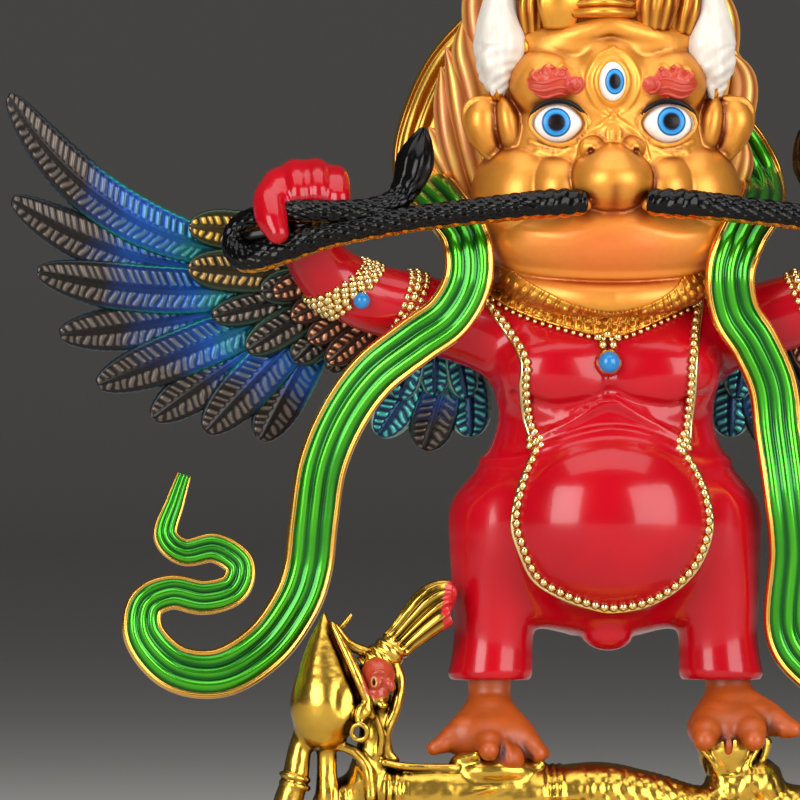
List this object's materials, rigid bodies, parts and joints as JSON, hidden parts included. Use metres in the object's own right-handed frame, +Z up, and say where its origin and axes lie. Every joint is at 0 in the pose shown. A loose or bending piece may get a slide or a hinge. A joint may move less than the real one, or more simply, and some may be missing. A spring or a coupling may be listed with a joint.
{
  "type": "garuda statue",
  "caption": "Painted and gilt cast garuda statuette with spread wings, a snake in its beak and fists and a flying scarf, trampling a naga on an oval lotus base.",
  "frame": {"origin": "middle of the flat underside of the lotus base", "axes": "+Z up, the figure faces -Y, +X to the figure's left hand, the right of the picture"},
  "size_m": [0.1796, 0.052, 0.1563],
  "materials": {
    "gilt": "satin gilding",
    "polished_gilt": "polished gilding",
    "red_enamel": "gloss enamel over gilt metal",
    "green_enamel": "gloss translucent enamel over gilt metal",
    "feather_paint": "satin blue and brown paint over gilt metal"
  },
  "bodies": {
    "root": {"plinth": "gilt", "naga": "polished_gilt", "garuda": "red_enamel", "scarf": "green_enamel", "wing_left": "feather_paint", "wing_right": "feather_paint"}
  },
  "joints": []
}
